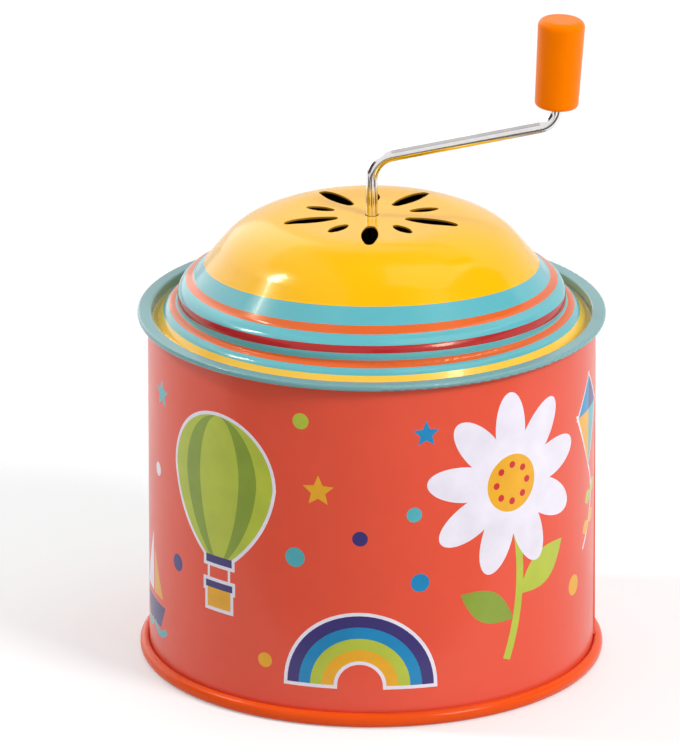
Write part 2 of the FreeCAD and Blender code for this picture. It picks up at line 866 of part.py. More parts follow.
def make_drum_gear():
    """Nylon worm wheel: slanted teeth, a boss against the ear and a plug in the drum."""
    body = new_body("drum_gear")
    root_radius = wheel_radius - tooth_root_depth
    profile = sketch_on(body, "XZ_Plane")
    draw_outline(profile, [
        (left_boss, arbor_bore),
        (drum_start + d.plug_length, arbor_bore),
        (drum_start + d.plug_length, plug_radius),
        (drum_start, plug_radius),
        (drum_start, root_radius),
        (-wheel_half, root_radius),
        (-wheel_half, d.boss_radius),
        (left_boss, d.boss_radius),
    ])
    spin(body, profile, "H_Axis")
    slant = axial_pitch / (d.worm_pitch_radius * (2 * math.pi))
    inner = root_radius - d.root_clearance
    outer = wheel_radius + d.tooth_module
    tip_half = tooth_half - d.tooth_module * PRESSURE_SLOPE
    root_half = tooth_half + (tooth_root_depth + d.root_clearance) * RELIEVED_SLOPE
    ends = []
    for face in (-wheel_half, wheel_half):
        end = sketch_on(body, "YZ_Plane", face)
        shift = slant * face
        draw_outline(end, [
            (inner, shift - root_half),
            (outer, shift - tip_half),
            (outer, shift + tip_half),
            (inner, shift + root_half),
        ])
        ends.append(end)
    doc.recompute()
    tooth = body.newObject("PartDesign::AdditiveLoft", "drum_gear_tooth")
    tooth.Profile = ends[0]
    tooth.Sections = [ends[1]]
    tooth.Ruled = True
    doc.recompute()
    ring_pattern(body, tooth, "X_Axis", d.wheel_teeth)
    on_drum_axis(body, 180 / d.wheel_teeth)
    return body


def make_drum_end_cap():
    """Plug and flange that close the far end of the drum."""
    body = new_body("drum_end_cap")
    profile = sketch_on(body, "XZ_Plane")
    draw_outline(profile, [
        (drum_end - d.plug_length, arbor_bore),
        (right_boss, arbor_bore),
        (right_boss, d.boss_radius),
        (cap_face, d.boss_radius),
        (cap_face, d.drum_radius),
        (drum_end, d.drum_radius),
        (drum_end, plug_radius),
        (drum_end - d.plug_length, plug_radius),
    ])
    spin(body, profile, "H_Axis")
    on_drum_axis(body)
    return body


def make_drum_arbor():
    """Steel rod across the two ears, with a groove for a clip at each end."""
    body = new_body("drum_arbor")
    profile = sketch_on(body, "XZ_Plane")
    start = left_ear - d.arbor_overhang
    end = right_ear_face + d.arbor_overhang
    groove = d.arbor_radius - d.clip_groove
    left_groove = left_ear - d.clip_thickness - d.press_gap * 2
    right_groove = right_ear_face + d.clip_thickness + d.press_gap * 2
    draw_outline(profile, [
        (start, 0),
        (end, 0),
        (end, d.arbor_radius),
        (right_groove, d.arbor_radius),
        (right_groove, groove),
        (right_ear_face, groove),
        (right_ear_face, d.arbor_radius),
        (left_ear, d.arbor_radius),
        (left_ear, groove),
        (left_groove, groove),
        (left_groove, d.arbor_radius),
        (start, d.arbor_radius),
    ])
    spin(body, profile, "H_Axis")
    on_drum_axis(body)
    return body


def make_arbor_clips():
    """Open spring rings in the arbor's grooves."""
    clips = []
    bore = d.arbor_radius - d.clip_groove + d.press_gap
    outside = d.arbor_radius + d.clip_width
    for index, face in enumerate((left_ear - d.clip_thickness - d.press_gap, right_ear_face + d.press_gap)):
        body = new_body(f"arbor_clip_{index}")
        ring = sketch_on(body, "YZ_Plane", face)
        draw_circle(ring, 0, 0, outside)
        draw_circle(ring, 0, 0, bore)
        pad(body, ring, d.clip_thickness)
        mouth = sketch_on(body, "YZ_Plane", face)
        draw_box(mouth, 0, outside * 2, bore * -HALF, bore * HALF)
        doc.recompute()
        pocket(body, mouth, d.clip_thickness, upwards=True)
        on_drum_axis(body)
        clips.append(body)
    return group("arbor_clips", clips)


def make_worm():
    """One-start worm on its shaft: a journal in the bed, and a socket for the crank on top."""
    body = new_body("worm")
    worm_foot = bed_top + d.washer_thickness + d.end_play
    journal_foot = bed_foot + d.end_play
    socket_floor = shaft_top - d.socket_depth
    socket_radius = d.wire_radius + d.press_gap
    profile = sketch_on(body, "XZ_Plane")
    draw_outline(profile, [
        (0, journal_foot),
        (d.journal_radius, journal_foot),
        (d.journal_radius, worm_foot),
        (d.worm_shaft_radius, worm_foot),
        (d.worm_shaft_radius, shaft_top),
        (socket_radius, shaft_top),
        (socket_radius, socket_floor),
        (0, socket_floor),
    ])
    spin(body, profile, "V_Axis")
    start = drum_level - worm_half_length
    inner = d.worm_shaft_radius - d.root_clearance
    outer = d.worm_pitch_radius + d.tooth_module
    tip_half = tooth_half - d.tooth_module * PRESSURE_SLOPE
    root_half = tooth_half + (d.worm_pitch_radius - inner) * PRESSURE_SLOPE
    thread = sketch_on(body, "XZ_Plane")
    draw_outline(thread, [
        (inner, start - root_half),
        (outer, start - tip_half),
        (outer, start + tip_half),
        (inner, start + root_half),
    ])
    doc.recompute()
    helix = body.newObject("PartDesign::AdditiveHelix", "worm_thread")
    helix.Profile = thread
    helix.ReferenceAxis = (thread, ["V_Axis"])
    helix.Mode = 0
    bind(helix, "Pitch", axial_pitch)
    bind(helix, "Height", axial_pitch * d.worm_turns)
    return body


def make_thrust_washer():
    """Washer between the bed and the foot of the worm."""
    body = new_body("thrust_washer")
    ring = sketch_on(body, "XY_Plane", bed_top)
    draw_circle(ring, 0, 0, d.washer_radius)
    draw_circle(ring, 0, 0, d.journal_radius + d.running_gap)
    pad(body, ring, d.washer_thickness)
    return body


def make_worm_strap():
    """Bent strap: foot on the bed, upright web, and an eye for the top of the worm's shaft."""
    body = new_body("worm_strap")
    section = sketch_on(body, "YZ_Plane", strap_left)
    draw_outline(section, sheet_outline(body.Name, [
        (strap_back, bed_top),
        (d.strap_web_distance, bed_top, d.strap_gauge + d.strap_bend),
        (d.strap_web_distance, strap_level, d.strap_bend),
        (-d.strap_overhang, strap_level),
    ], d.strap_gauge, side=-1))
    pad(body, section, d.strap_width)
    doc.recompute()
    drill(body, strap_top, [(0, 0)], d.worm_shaft_radius + d.running_gap, d.strap_gauge)
    drill(body, bed_top + d.strap_gauge, strap_screw_places, screw_hole, d.strap_gauge)
    return body


def make_crank():
    """Round wire with two bends, riveted over at the end that carries the knob."""
    wire = new_body("crank_wire")
    path = sketch_on(wire, "XZ_Plane")
    end_x = d.crank_throw + d.leg_length * leg_side
    end_z = arm_end + d.leg_length * leg_up
    draw_outline(path, [
        (0, wire_foot),
        (0, arm_start, d.first_bend),
        (d.crank_throw, arm_end, d.second_bend),
        (end_x, end_z),
    ], closed=False)
    section = sketch_on(wire, "XY_Plane", wire_foot)
    draw_circle(section, 0, 0, d.wire_radius)
    doc.recompute()
    pipe = wire.newObject("PartDesign::AdditivePipe", "crank_pipe")
    pipe.Profile = section
    pipe.Spine = (path, [f"Edge{index + 1}" for index in range(len(path.Shape.Edges))])
    rivet = doc.addObject("Part::Cylinder", "crank_rivet")
    bind(rivet, "Radius", d.rivet_radius)
    bind(rivet, "Height", d.rivet_length)
    rivet_start = d.leg_length - d.rivet_length
    rivet_x = d.crank_throw + rivet_start * leg_side
    rivet_z = arm_end + rivet_start * leg_up
    place(rivet, rivet_x, 0, rivet_z, Vector(0, 1, 0), d.knob_lean)
    crank = doc.addObject("Part::Fuse", "crank")
    crank.Base = wire
    crank.Tool = rivet
    crank.Label = "crank"
    return crank


def make_crank_knob():
    """Tapered knob with rounded ends, and a stepped bore that holds the riveted wire."""
    body = new_body("crank_knob")
    bore = d.wire_radius + d.knob_gap
    pocket_radius = d.rivet_radius + d.knob_gap
    pocket_end = d.knob_grip + d.knob_gap
    shoulder = d.knob_grip - d.rivet_length - d.knob_gap
    profile = sketch_on(body, "XZ_Plane")
    draw_outline(profile, [
        (bore, 0),
        (d.knob_foot_radius, 0, d.knob_foot_round),
        (d.knob_top_radius, d.knob_length, d.knob_top_round),
        (0, d.knob_length),
        (0, pocket_end),
        (pocket_radius, pocket_end),
        (pocket_radius, shoulder),
        (bore, shoulder),
    ])
    spin(body, profile, "V_Axis")
    foot_x = d.crank_throw + knob_foot * leg_side
    foot_z = arm_end + knob_foot * leg_up
    place(body, foot_x, 0, foot_z, Vector(0, 1, 0), d.knob_lean)
    return body


nodes = [
    make_can_wall(),
    make_lid(),
    make_base_plate(),
    make_bedplate(),
    make_screws("movement_screws", bed_screw_places, d.base_recess, d.tin_gauge, d.screw_grip, False),
    make_comb(),
    make_screws("comb_screws", comb_screw_places, comb_top, d.comb_root_thickness, d.screw_grip, True),
    make_bass_weights(),
    make_drum(),
    make_drum_pins(),
    make_drum_gear(),
    make_drum_end_cap(),
    make_drum_arbor(),
    make_arbor_clips(),
    make_worm(),
    make_thrust_washer(),
    make_worm_strap(),
    make_screws("strap_screws", strap_screw_places, bed_top + d.strap_gauge, d.strap_gauge,
                d.bed_thickness - d.strap_gauge, True),
    make_crank(),
    make_crank_knob(),
]
doc.recompute()

faults = [item.Label for item in doc.Objects if {"Invalid", "Error"} & set(item.State)]
for node in nodes:
    if node.Shape.isNull() or not node.Shape.isValid():
        faults.append(node.Label)
if faults:
    raise SystemExit("failed: " + ", ".join(faults))

os.makedirs("parts", exist_ok=True)
for node in nodes:
    node.Shape.exportStep(os.path.join("parts", f"{node.Label}.step"))
    box = node.Shape.BoundBox
    print(f"{node.Label}: {len(node.Shape.Solids)} solid(s), {node.Shape.Volume:.1f} mm3,",
          f"x {box.XMin:.2f} {box.XMax:.2f}, y {box.YMin:.2f} {box.YMax:.2f},",
          f"z {box.ZMin:.2f} {box.ZMax:.2f}")
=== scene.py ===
import math

import bpy
import numpy as np
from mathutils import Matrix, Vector
from mathutils.geometry import delaunay_2d_cdt


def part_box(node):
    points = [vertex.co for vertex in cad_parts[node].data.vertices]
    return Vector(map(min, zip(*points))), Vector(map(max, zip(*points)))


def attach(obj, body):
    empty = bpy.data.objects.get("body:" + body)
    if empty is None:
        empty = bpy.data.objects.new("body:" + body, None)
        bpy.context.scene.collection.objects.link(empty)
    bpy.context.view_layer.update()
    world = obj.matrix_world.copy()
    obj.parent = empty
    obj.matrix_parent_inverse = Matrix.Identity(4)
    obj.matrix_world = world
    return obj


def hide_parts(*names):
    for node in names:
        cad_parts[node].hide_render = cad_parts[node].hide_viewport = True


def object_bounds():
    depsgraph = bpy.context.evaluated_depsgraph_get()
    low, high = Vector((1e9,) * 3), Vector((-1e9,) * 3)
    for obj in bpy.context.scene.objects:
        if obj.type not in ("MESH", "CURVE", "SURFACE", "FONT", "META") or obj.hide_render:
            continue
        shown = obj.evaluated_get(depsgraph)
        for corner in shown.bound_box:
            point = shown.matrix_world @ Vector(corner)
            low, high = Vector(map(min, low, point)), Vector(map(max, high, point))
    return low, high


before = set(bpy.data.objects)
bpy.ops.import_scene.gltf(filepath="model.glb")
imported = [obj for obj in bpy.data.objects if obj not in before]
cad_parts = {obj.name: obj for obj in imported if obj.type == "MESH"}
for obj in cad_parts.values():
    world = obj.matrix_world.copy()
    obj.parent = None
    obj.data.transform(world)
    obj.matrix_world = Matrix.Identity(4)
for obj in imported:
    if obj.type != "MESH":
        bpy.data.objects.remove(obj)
cad_low, cad_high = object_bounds()

# The object is drawn in millimetres here, and written in metres.
MM = 0.001

# Tin of the can: wall, folded edges and upright lock seam
TIN = 0.3
FOLD = 0.42
CAN_RADIUS = 37.5
FLANGE_RADIUS = 38.85
FLANGE_TOP = 60.0
HOOK_RADIUS = 38.74
HOOK_ROLL = 0.74
HOOK_TOP = 1.3
WALL_BASE = 0.36
WALL_FOOT = WALL_BASE + FOLD
WALL_HEAD = FLANGE_TOP - FOLD
SEAM_FOOT = 2.7
SEAM_HEAD = 59.04
SEAM_PROUD = 0.3
RING_STEPS = 180


def colour(red, green, blue):
    """A colour given as it looks on a screen, from 0 to 255, as linear light."""
    linear = []
    for level in (red, green, blue):
        share = level / 255
        linear.append(share / 12.92 if share <= 0.04045 else ((share + 0.055) / 1.055) ** 2.4)
    return (*linear, 1.0)


# Print of the lid, its cut edges and the tint of its sheen
YELLOW = colour(245, 183, 0)
TURQUOISE = colour(94, 177, 187)
STRIPE_ORANGE = colour(222, 100, 44)
STRIPE_RED = colour(174, 38, 42)
RING_YELLOW = colour(238, 199, 76)
# The rim's turquoise is the print's turquoise made darker and greyer: painted shade and reflection on the
# rim
SHADED_RIM_TURQUOISE = colour(113, 161, 165)
CUT_YELLOW = colour(178, 126, 14)
WARM_SHEEN = colour(250, 222, 176)

# Print of the wall, by the name of each ink
INKS = {
    "red": colour(228, 82, 57),
    "paper": colour(236, 230, 242),
    "lime": colour(184, 196, 66),
    "leaf": colour(138, 160, 56),
    "indigo": colour(64, 54, 118),
    "blue": colour(30, 136, 190),
    "sun": colour(236, 172, 40),
    "turquoise": colour(84, 176, 186),
    "coral": colour(206, 44, 52),
}

# Foot, knob and movement
FOOT_ORANGE = colour(232, 80, 14)
KNOB_ORANGE = colour(250, 124, 0)
BARE_TIN = colour(188, 184, 176)
PALE_NYLON = colour(232, 228, 214)
BRIGHT_WIRE = (0.86, 0.84, 0.83, 1)
BRASS = (0.75, 0.56, 0.24, 1)
STEEL = (0.6, 0.6, 0.62, 1)
GROUND_STEEL = (0.58, 0.6, 0.63, 1)
ZINC = (0.5, 0.51, 0.53, 1)
LEAD = (0.28, 0.29, 0.31, 1)

# Studio
CARD_BROWN = colour(62, 48, 44)
FLOOR_GREY = colour(210, 212, 212)

# Sockets of a Mix node that carry colours
FIRST_COLOUR = 6
SECOND_COLOUR = 7
MIXED_COLOUR = 2


class Graph:
    """A material with one principled shader, and short names for the nodes that feed it."""

    def __init__(self, name):
        self.material = bpy.data.materials.new(name)
        self.material.use_nodes = True
        self.tree = self.material.node_tree
        self.shader = self.tree.nodes["Principled BSDF"]
        self.place = self.add("ShaderNodeTexCoord").outputs["Object"]

    def add(self, kind, **settings):
        """A new node with the given settings."""
        node = self.tree.nodes.new(kind)
        for name, value in settings.items():
            setattr(node, name, value)
        return node

    def feed(self, socket, value):
        """Link a socket to another node's output, or set it to a plain value."""
        if isinstance(value, bpy.types.NodeSocket):
            self.tree.links.new(value, socket)
        else:
            socket.default_value = value

    def set(self, **inputs):
        """Feed the shader's inputs, named with an underscore for each space."""
        for name, value in inputs.items():
            self.feed(self.shader.inputs[name.replace("_", " ")], value)

    def math(self, operation, first, second=0.0):
        """One step of arithmetic."""
        node = self.add("ShaderNodeMath", operation=operation)
        self.feed(node.inputs[0], first)
        self.feed(node.inputs[1], second)
        return node.outputs[0]

    def axes(self):
        """Place on the object along x, y and z, in millimetres."""
        node = self.add("ShaderNodeSeparateXYZ")
        self.feed(node.inputs[0], self.place)
        return [self.math("DIVIDE", socket, MM) for socket in node.outputs]

    def noise(self, grain, detail=2.0, stretch=None):
        """Smooth noise whose grain is a length in millimetres."""
        node = self.add("ShaderNodeTexNoise")
        where = self.place
        if stretch:
            scaling = self.add("ShaderNodeMapping")
            self.feed(scaling.inputs["Vector"], where)
            scaling.inputs["Scale"].default_value = stretch
            where = scaling.outputs[0]
        self.feed(node.inputs["Vector"], where)
        node.inputs["Scale"].default_value = 1 / (grain * MM)
        node.inputs["Detail"].default_value = detail
        return node.outputs["Fac"]

    def span(self, value, low, high):
        """Carry a share from 0 to 1 over to a range of values."""
        node = self.add("ShaderNodeMapRange")
        self.feed(node.inputs["Value"], value)
        node.inputs["To Min"].default_value = low
        node.inputs["To Max"].default_value = high
        return node.outputs[0]

    def ramp(self, share, stops, interpolation="LINEAR"):
        """A colour for each share from 0 to 1, by stops of a position and a colour."""
        node = self.add("ShaderNodeValToRGB")
        node.color_ramp.interpolation = interpolation
        elements = node.color_ramp.elements
        while len(elements) < len(stops):
            elements.new(1.0)
        for element, (position, shade) in zip(elements, stops):
            element.position = position
            element.color = shade
        self.feed(node.inputs[0], share)
        return node.outputs[0]

    def mix(self, share, first, second, blend="MIX"):
        """Two colours blended by a share."""
        node = self.add("ShaderNodeMix", data_type="RGBA", blend_type=blend)
        self.feed(node.inputs[0], share)
        self.feed(node.inputs[FIRST_COLOUR], first)
        self.feed(node.inputs[SECOND_COLOUR], second)
        return node.outputs[MIXED_COLOUR]

    def bump(self, height, depth):
        """Raise the surface by a depth in millimetres where the height is 1."""
        node = self.add("ShaderNodeBump")
        node.inputs["Distance"].default_value = depth * MM
        self.feed(node.inputs["Height"], height)
        self.set(Normal=node.outputs[0])


# Fine noise has this much detail, and most of its values lie between these two
FINE_DETAIL = 4.0
NOISE_LOW = 0.3
NOISE_HIGH = 0.7


def varied(graph, base, grain, depth):
    """A colour that drifts a little in lightness over the surface."""
    light = graph.ramp(graph.noise(grain, FINE_DETAIL), [
        (NOISE_LOW, (1 - depth, 1 - depth, 1 - depth, 1)),
        (NOISE_HIGH, (1, 1, 1, 1)),
    ])
    return graph.mix(1.0, base, light, "MULTIPLY")


# Lacquer: grain of its ink and of its gloss, and length and depth of the sheet's waves, in millimetres
INK_GRAIN = 5.0
GLOSS_GRAIN = 4.0
GLOSS_SPREAD = 0.04
WAVE_LENGTH = 16.0
WAVE_DEPTH = 0.006
COAT_ROUGHNESS = 0.12


def lacquer(name, base, roughness, mottle, shine=0.3):
    """Printed lacquer on tinplate: mottled ink under a thin clear coat on a faintly wavy sheet."""
    graph = Graph(name)
    gloss = graph.noise(GLOSS_GRAIN)
    graph.set(
        Base_Color=varied(graph, base, INK_GRAIN, mottle),
        Roughness=graph.span(gloss, roughness - GLOSS_SPREAD, roughness + GLOSS_SPREAD),
        Specular_IOR_Level=shine,
        Coat_Weight=shine / 3,
        Coat_Roughness=COAT_ROUGHNESS,
    )
    graph.bump(graph.noise(WAVE_LENGTH), WAVE_DEPTH)
    return graph.material


# Where each colour of the lid begins at the front, as a radius and a height
LID_STRIPES = [
    (0.0, 76.86, YELLOW),
    (26.56, 69.83, TURQUOISE),
    (28.64, 67.31, STRIPE_ORANGE),
    (29.6, 66.14, TURQUOISE),
    (31.75, 64.89, STRIPE_RED),
    (32.37, 63.88, TURQUOISE),
    (32.5, 62.71, STRIPE_ORANGE),
    (33.26, 61.45, TURQUOISE),
    (34.6, 60.55, RING_YELLOW),
]
PRINT_LENGTH = 60.0
RIM_START = 36.75
RIM_TOP = 60.36

# The lid's lacquer is glossier than that of the wall, on a stiffer sheet
LID_INK_GRAIN = 6.0
LID_MOTTLE = 0.04
LID_GLOSS_GRAIN = 5.0
LID_ROUGHNESS = (0.18, 0.24)
LID_SHINE = 0.3
LID_COAT = 0.25
LID_COAT_ROUGHNESS = 0.08
LID_WAVE_LENGTH = 14.0
LID_WAVE_DEPTH = 0.004

# The lacquer is duller in the corner at the foot of the dome's step, within a reach of it
CORNER_RADIUS = 32.9
CORNER_HEIGHT = 61.6
CORNER_REACH = 1.0
CORNER_DULLNESS = 0.3

# The print is stamped off centre towards the back, more so on the dome than at the rim
RIM_SHIFT = 0.6
SHIFT_RISE = 0.27
RIM_EDGE_SHIFT = 0.5


def print_shift(height):
    """How far the print is off centre at a height."""
    return RIM_SHIFT + SHIFT_RISE * (height - RIM_TOP)


def striped_lacquer():
    """The lid's rings of colour, by their distance along the print from the crown."""
    graph = Graph("striped_lacquer")
    x, y, z = graph.axes()
    crown_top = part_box("lid")[1].z / MM
    squares = graph.math("ADD", graph.math("MULTIPLY", x, x), graph.math("MULTIPLY", y, y))
    radius = graph.math("SQRT", squares)
    drop = graph.math("SUBTRACT", crown_top, z)
    behind = graph.math("DIVIDE", y, graph.math("MAXIMUM", radius, 1.0))
    above_rim = graph.math("SUBTRACT", z, RIM_TOP)
    shift = graph.math("ADD", graph.math("MULTIPLY", above_rim, SHIFT_RISE), RIM_SHIFT)
    along = graph.math("ADD", radius, drop)
    along = graph.math("SUBTRACT", along, graph.math("MULTIPLY", behind, shift))
    stops = []
    for front_radius, height, shade in LID_STRIPES:
        distance = front_radius + crown_top - height + print_shift(height) if front_radius else 0.0
        stops.append((distance / PRINT_LENGTH, shade))
    rings = graph.ramp(graph.math("DIVIDE", along, PRINT_LENGTH), stops, "CONSTANT")
    # On the rim the print takes the darker, greyer turquoise, which is painted shade and reflection
    rim_edge = graph.math("ADD", radius, graph.math("MULTIPLY", behind, RIM_EDGE_SHIFT))
    on_rim = graph.math("GREATER_THAN", rim_edge, RIM_START)
    print_colour = graph.mix(on_rim, rings, SHADED_RIM_TURQUOISE)
    outwards = graph.math("POWER", graph.math("SUBTRACT", radius, CORNER_RADIUS), 2.0)
    upwards = graph.math("POWER", graph.math("SUBTRACT", z, CORNER_HEIGHT), 2.0)
    from_corner = graph.math("SQRT", graph.math("ADD", outwards, upwards))
    from_corner = graph.math("DIVIDE", from_corner, CORNER_REACH)
    roughness = graph.span(graph.noise(LID_GLOSS_GRAIN), *LID_ROUGHNESS)
    graph.set(
        Base_Color=varied(graph, print_colour, LID_INK_GRAIN, LID_MOTTLE),
        Roughness=graph.math("ADD", roughness, graph.span(from_corner, CORNER_DULLNESS, 0.0)),
        Specular_IOR_Level=LID_SHINE,
        Specular_Tint=WARM_SHEEN,
        Coat_Weight=LID_COAT,
        Coat_Roughness=LID_COAT_ROUGHNESS,
    )
    graph.bump(graph.noise(LID_WAVE_LENGTH), LID_WAVE_DEPTH)
    return graph.material


# Bare metal is a little stained, and its working marks make it smoother or rougher by a share
STAIN_GRAIN = 3.0
STAIN_DEPTH = 0.12
MARK_SHARE = 0.3


def metal(name, base, roughness, grain, stretch=None, depth=0.001):
    """Bare metal with fine working marks."""
    graph = Graph(name)
    marks = graph.noise(grain, FINE_DETAIL, stretch)
    graph.set(
        Base_Color=varied(graph, base, STAIN_GRAIN, STAIN_DEPTH),
        Metallic=1.0,
        Roughness=graph.span(marks, roughness * (1 - MARK_SHARE), roughness * (1 + MARK_SHARE)),
    )
    graph.bump(marks, depth)
    return graph.material


# Plastic: grains and depths of its colour, gloss and skin, and how far light goes in, in millimetres
CLOUD_GRAIN = 6.0
CLOUD_DEPTH = 0.04
SKIN_GLOSS_GRAIN = 2.5
SKIN_GLOSS_SPREAD = 0.05
SKIN_GRAIN = 0.7
SKIN_DEPTH = 0.002
SKIN_SHINE = 0.25
LIGHT_DEPTH = 1.5
LIGHT_SPREAD = (1.0, 0.4, 0.1)


def moulded(name, base, roughness, glow):
    """Moulded plastic: a soft skin that lets a little light in."""
    graph = Graph(name)
    gloss = graph.noise(SKIN_GLOSS_GRAIN)
    graph.set(
        Base_Color=varied(graph, base, CLOUD_GRAIN, CLOUD_DEPTH),
        Roughness=graph.span(gloss, roughness - SKIN_GLOSS_SPREAD, roughness + SKIN_GLOSS_SPREAD),
        Specular_IOR_Level=SKIN_SHINE,
        Specular_Tint=base,
        Subsurface_Weight=glow,
        Subsurface_Scale=LIGHT_DEPTH * MM,
        Subsurface_Radius=LIGHT_SPREAD,
    )
    graph.bump(graph.noise(SKIN_GRAIN), SKIN_DEPTH)
    return graph.material


def dress(node, *materials):
    """Give a CAD piece its finish."""
    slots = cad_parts[node].data.materials
    slots.clear()
    for material in materials:
        slots.append(material)


# Sound holes of the lid lie inside the crown, above its foot; its bare inner side ends short of the rim
CROWN_RADIUS = 17.0
CROWN_FOOT = 73.0
INNER_REACH = 36.6
STEEP = 0.5
PRINT_SIDE, INNER_SIDE, CUT_EDGE = range(3)


def part_lid_faces():
    """Give the lid's materials to its printed side, its inner side and the edges of its sound holes."""
    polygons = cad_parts["lid"].data.polygons
    centre = np.zeros(len(polygons) * 3)
    normal = np.zeros(len(polygons) * 3)
    polygons.foreach_get("center", centre)
    polygons.foreach_get("normal", normal)
    centre = centre.reshape(-1, 3) / MM
    normal = normal.reshape(-1, 3)
    radius = np.hypot(centre[:, 0], centre[:, 1])
    outwards = (centre[:, :2] * normal[:, :2]).sum(1) / np.maximum(radius, TIN)
    inside = (outwards + normal[:, 2] < 0) & (radius < INNER_REACH)
    on_crown = (radius < CROWN_RADIUS) & (centre[:, 2] > CROWN_FOOT)
    cut = on_crown & (abs(normal[:, 2]) < STEEP)
    marks = np.where(cut, CUT_EDGE, np.where(inside, INNER_SIDE, PRINT_SIDE))
    polygons.foreach_set("material_index", marks.astype(np.int32))


# Outlines of the wall's print, laid out flat: u runs rightwards from the front, v is the height

def sweep(u, v, radius, start, stop, steps=32):
    """Points along an arc, from one angle to another in degrees."""
    angles = [math.radians(start + (stop - start) * step / steps) for step in range(steps + 1)]
    return [(u + radius * math.cos(angle), v + radius * math.sin(angle)) for angle in angles]


def oval(u, v, half_length, half_width, turn=0.0):
    """An ellipse whose long axis is turned from the level by an angle in degrees."""
    lean = math.radians(turn)
    points = []
    for x, y in sweep(0, 0, 1, 0, 360, 40)[:-1]:
        along, across = x * half_length, y * half_width
        points.append((u + along * math.cos(lean) - across * math.sin(lean),
                       v + along * math.sin(lean) + across * math.cos(lean)))
    return points


def leaf(u, v, length, width, turn, steps=12):
    """A lens that points away from its stalk at (u, v)."""
    lean = math.radians(turn)
    points = []
    for side in (-1, 1):
        for step in range(steps):
            share = step / steps if side < 0 else 1 - step / steps
            along = length * share
            across = side * width / 2 * math.sin(math.pi * share)
            points.append((u + along * math.cos(lean) - across * math.sin(lean),
                           v + along * math.sin(lean) + across * math.cos(lean)))
    return points


def star(u, v, radius, arms=5, waist=0.45):
    """A star that stands on two of its arms, with its waist as a share of its radius."""
    points = []
    for step in range(arms * 2):
        reach = radius if step % 2 == 0 else radius * waist
        angle = math.radians(90 + 180 * step / arms)
        points.append((u + reach * math.cos(angle), v + reach * math.sin(angle)))
    return points


def arch(u, v, outside, inside):
    """Half of a flat ring, standing on its two ends."""
    return sweep(u, v, outside, 0, 180) + sweep(u, v, inside, 180, 0)


def box(left, right, low, high):
    """An upright rectangle."""
    return [(left, low), (right, low), (right, high), (left, high)]


def bent_line(start, pull, stop, steps=12):
    """Points of a line that bends from start to stop towards a third point."""
    points = []
    for step in range(steps + 1):
        t = step / steps
        points.append(tuple((1 - t) ** 2 * a + 2 * t * (1 - t) * b + t * t * c
                            for a, b, c in zip(start, pull, stop)))
    return points


def stroke(line, width):
    """A line of points drawn with an even width."""
    left, right = [], []
    for index, (u, v) in enumerate(line):
        before = line[max(index - 1, 0)]
        after = line[min(index + 1, len(line) - 1)]
        heading = (Vector(after) - Vector(before)).normalized() * width / 2
        left.append((u - heading.y, v + heading.x))
        right.append((u + heading.y, v - heading.x))
    return right + left[::-1]


def grown(outline, margin, sharpest=0.5):
    """An outline moved outwards by a margin, and less so at its sharpest corners."""
    points = []
    for index, point in enumerate(outline):
        before = Vector(point) - Vector(outline[index - 1])
        after = Vector(outline[(index + 1) % len(outline)]) - Vector(point)
        first = Vector((before.y, -before.x)).normalized()
        second = Vector((after.y, -after.x)).normalized()
        outwards = (first + second) / max(1 + first.dot(second), sharpest)
        points.append(tuple(Vector(point) + outwards * margin))
    return points


def bordered(shapes, margin=0.6):
    """Shapes with a rim of bare paper round the whole."""
    return [("paper", grown(outline, margin)) for ink, outline in shapes] + shapes


# Width of the thinnest printed lines
THREAD = 0.5


def balloon(u, v):
    """A hot-air balloon with upright stripes and a basket."""
    radius, cheek, mouth = 11.0, 10.0, 2.6
    collar, basket, band, rope = 2.9, 2.6, 3.0, 2.3
    shapes = []
    for ink, share in (("lime", 1.0), ("leaf", 0.72), ("lime", 0.4)):
        top = [(u + (x - u) * share, y) for x, y in sweep(u, v, radius, 0, 180)]
        left = bent_line((u - radius * share, v), (u - cheek * share, v - 8), (u - mouth * share, v - 14))
        right = bent_line((u + mouth * share, v - 14), (u + cheek * share, v - 8), (u + radius * share, v))
        shapes.append((ink, top + left[1:] + right[:-1]))
    shapes.append(("indigo", box(u - collar, u + collar, v - 15.2, v - 13.8)))
    hanging = [
        ("sun", box(u - basket, u + basket, v - 23, v - 18.6)),
        ("indigo", box(u - band, u + band, v - 19.6, v - 18.4)),
    ]
    ropes = []
    for place in (u - rope, u + rope):
        ropes.append(("paper", stroke([(place, v - 15), (place, v - 19)], THREAD)))
    return ropes + bordered(shapes) + bordered(hanging)


def rainbow(u, v):
    """Four arches, one inside the other."""
    outside, band = 12.4, 2.0
    shapes = []
    for step, ink in enumerate(("indigo", "blue", "lime", "sun")):
        shapes.append((ink, arch(u, v, outside - band * step, outside - band * (step + 1))))
    return bordered(shapes)


def daisy(u, v):
    """A tall white flower on a bent stalk with two leaves."""
    shapes = [
        ("lime", stroke(bent_line((u, v - 4), (u + 4, v - 18), (u - 1, v - 31)), 1.5)),
        ("lime", leaf(u + 1.6, v - 20, 13, 6, 32)),
        ("leaf", leaf(u + 0.4, v - 24, 12, 5.4, 150)),
    ]
    petals, petal_reach, petal_turn = 9, 9.4, 12
    for step in range(petals):
        turn = 360 * step / petals + petal_turn
        centre = sweep(u, v, petal_reach, turn, turn, 1)[0]
        shapes.append(("paper", oval(*centre, 6.6, 3.1, turn)))
    heart, seed_ring, seed = 5.0, 3.2, 0.6
    shapes.append(("sun", oval(u, v, heart, heart)))
    for centre in sweep(u, v, seed_ring, 0, 360, 8)[:-1]:
        shapes.append(("coral", oval(*centre, seed, seed)))
    return shapes


